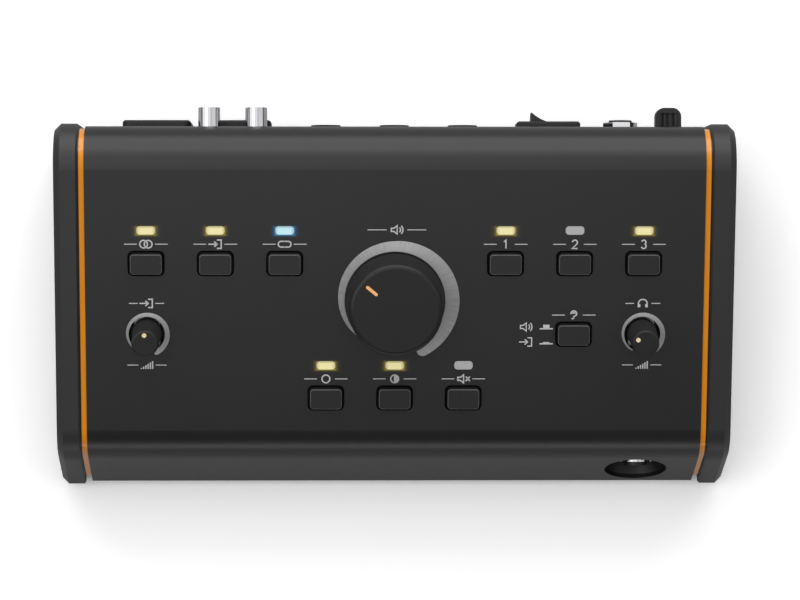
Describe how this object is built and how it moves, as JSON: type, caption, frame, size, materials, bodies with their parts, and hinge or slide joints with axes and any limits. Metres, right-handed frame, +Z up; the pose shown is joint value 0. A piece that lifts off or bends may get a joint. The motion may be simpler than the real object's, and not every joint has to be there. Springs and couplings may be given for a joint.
{
  "type": "studio monitor controller",
  "caption": "Wedge-shaped desktop audio controller: sloping metal panel between two cheeks, large level dial, small dials, lit push keys, rear sockets and a recessed headphone socket.",
  "frame": {"origin": "on the table, under the middle of the bounding box", "axes": "+X to the right of the person using it, +Y to the rear sockets, +Z up"},
  "size_m": [0.256, 0.1446, 0.0745],
  "materials": {
    "shell_paint": "fine black powder coat, satin",
    "cheek_paint": "dark satin coat on aluminium",
    "accent_paint": "orange satin coat",
    "tray_steel": "black coated steel",
    "knob_plastic": "soft dark grey",
    "marker": "pale orange inlay",
    "dot_marker": "cream inlay",
    "key_plastic": "dark grey, slight sheen",
    "led_warm": "clear light pipe, lit warm white",
    "led_blue": "clear light pipe, lit pale blue",
    "led_dark": "clear light pipe, unlit",
    "chrome": "bright plated",
    "steel": "plain",
    "black_plastic": "moulded black",
    "phono_inserts": "white insulator",
    "board_green": "green circuit board",
    "ribbon_grey": "grey flat cable",
    "rubber": "black"
  },
  "bodies": {
    "housing": {"aux_pot_body": "steel", "base_screws": "steel", "base_tray": "tray_steel", "board_screws": "steel", "cable_hook": "black_plastic", "cheek_screws": "steel", "combo_jack_screws": "chrome", "control_board": "board_green", "control_board_posts": "steel", "dark_led_windows": "led_dark", "dc_jack": "black_plastic", "dc_jack_nut": "chrome", "key_switches": "black_plastic", "led_chips": "black_plastic", "left_accent_plate": "accent_paint", "left_cheek": "cheek_paint", "left_combo_jack": "black_plastic", "main_board": "board_green", "main_board_posts": "steel", "main_pot_body": "steel", "main_pot_nut": "chrome", "output_jacks": "black_plastic", "pair_led_window": "led_blue", "phones_cup": "black_plastic", "phones_jack": "black_plastic", "phones_jack_nut": "chrome", "phones_pot_body": "steel", "rca_cores": "phono_inserts", "rca_housing": "black_plastic", "rca_sleeves": "chrome", "rear_panel": "shell_paint", "ribbon_cable": "ribbon_grey", "ribbon_headers": "black_plastic", "right_accent_plate": "accent_paint", "right_cheek": "cheek_paint", "right_combo_jack": "black_plastic", "rocker_bezel": "black_plastic", "rubber_feet": "rubber", "top_shell": "shell_paint", "warm_led_windows": "led_warm"},
    "main_control": {"main_knob": "knob_plastic", "main_knob_pointer": "marker", "main_pot_shaft": "steel"},
    "aux_control": {"aux_knob": "knob_plastic", "aux_knob_dot": "dot_marker", "aux_pot_shaft": "steel"},
    "phones_control": {"phones_knob": "knob_plastic", "phones_knob_dot": "dot_marker", "phones_pot_shaft": "steel"},
    "power_rocker": {"rocker_paddle": "black_plastic"},
    "stereo_key_body": {"stereo_key": "key_plastic"},
    "aux_key_body": {"aux_key": "key_plastic"},
    "pair_key_body": {"pair_key": "key_plastic"},
    "output_1_key_body": {"output_1_key": "key_plastic"},
    "output_2_key_body": {"output_2_key": "key_plastic"},
    "output_3_key_body": {"output_3_key": "key_plastic"},
    "listen_key_body": {"listen_key": "key_plastic"},
    "mono_key_body": {"mono_key": "key_plastic"},
    "dim_key_body": {"dim_key": "key_plastic"},
    "mute_key_body": {"mute_key": "key_plastic"}
  },
  "joints": [
    {"name": "main_level_turn", "type": "hinge", "parent": "housing", "child": "main_control", "pos_m": [0, -0.00138, 0.05399], "axis": [0, -0.2079, 0.9781], "range_deg": [-200, 100]},
    {"name": "aux_level_turn", "type": "hinge", "parent": "housing", "child": "aux_control", "pos_m": [-0.0935, -0.0139, 0.05133], "axis": [0, -0.2079, 0.9781], "range_deg": [-154, 146]},
    {"name": "phones_level_turn", "type": "hinge", "parent": "housing", "child": "phones_control", "pos_m": [0.0935, -0.0139, 0.05133], "axis": [0, -0.2079, 0.9781], "range_deg": [-214, 86]},
    {"name": "stereo_key_press", "type": "slide", "parent": "housing", "child": "stereo_key_body", "axis": [0, 0.2079, -0.9781], "range_m": [0, 0.0015], "stiffness_N_per_m": 300, "springref_m": -0.002},
    {"name": "aux_key_press", "type": "slide", "parent": "housing", "child": "aux_key_body", "axis": [0, 0.2079, -0.9781], "range_m": [0, 0.0015], "stiffness_N_per_m": 300, "springref_m": -0.002},
    {"name": "pair_key_press", "type": "slide", "parent": "housing", "child": "pair_key_body", "axis": [0, 0.2079, -0.9781], "range_m": [0, 0.0015], "stiffness_N_per_m": 300, "springref_m": -0.002},
    {"name": "output_1_key_press", "type": "slide", "parent": "housing", "child": "output_1_key_body", "axis": [0, 0.2079, -0.9781], "range_m": [0, 0.0015], "stiffness_N_per_m": 300, "springref_m": -0.002},
    {"name": "output_2_key_press", "type": "slide", "parent": "housing", "child": "output_2_key_body", "axis": [0, 0.2079, -0.9781], "range_m": [0, 0.0015], "stiffness_N_per_m": 300, "springref_m": -0.002},
    {"name": "output_3_key_press", "type": "slide", "parent": "housing", "child": "output_3_key_body", "axis": [0, 0.2079, -0.9781], "range_m": [0, 0.0015], "stiffness_N_per_m": 300, "springref_m": -0.002},
    {"name": "listen_key_press", "type": "slide", "parent": "housing", "child": "listen_key_body", "axis": [0, 0.2079, -0.9781], "range_m": [0, 0.0015], "stiffness_N_per_m": 300, "springref_m": -0.002},
    {"name": "mono_key_press", "type": "slide", "parent": "housing", "child": "mono_key_body", "axis": [0, 0.2079, -0.9781], "range_m": [0, 0.0015], "stiffness_N_per_m": 300, "springref_m": -0.002},
    {"name": "dim_key_press", "type": "slide", "parent": "housing", "child": "dim_key_body", "axis": [0, 0.2079, -0.9781], "range_m": [0, 0.0015], "stiffness_N_per_m": 300, "springref_m": -0.002},
    {"name": "mute_key_press", "type": "slide", "parent": "housing", "child": "mute_key_body", "axis": [0, 0.2079, -0.9781], "range_m": [0, 0.0015], "stiffness_N_per_m": 300, "springref_m": -0.002},
    {"name": "power_rock", "type": "hinge", "parent": "housing", "child": "power_rocker", "pos_m": [0.0586, 0.06451, 0.03601], "axis": [0, 0, 1], "range_deg": [0, 28]}
  ]
}
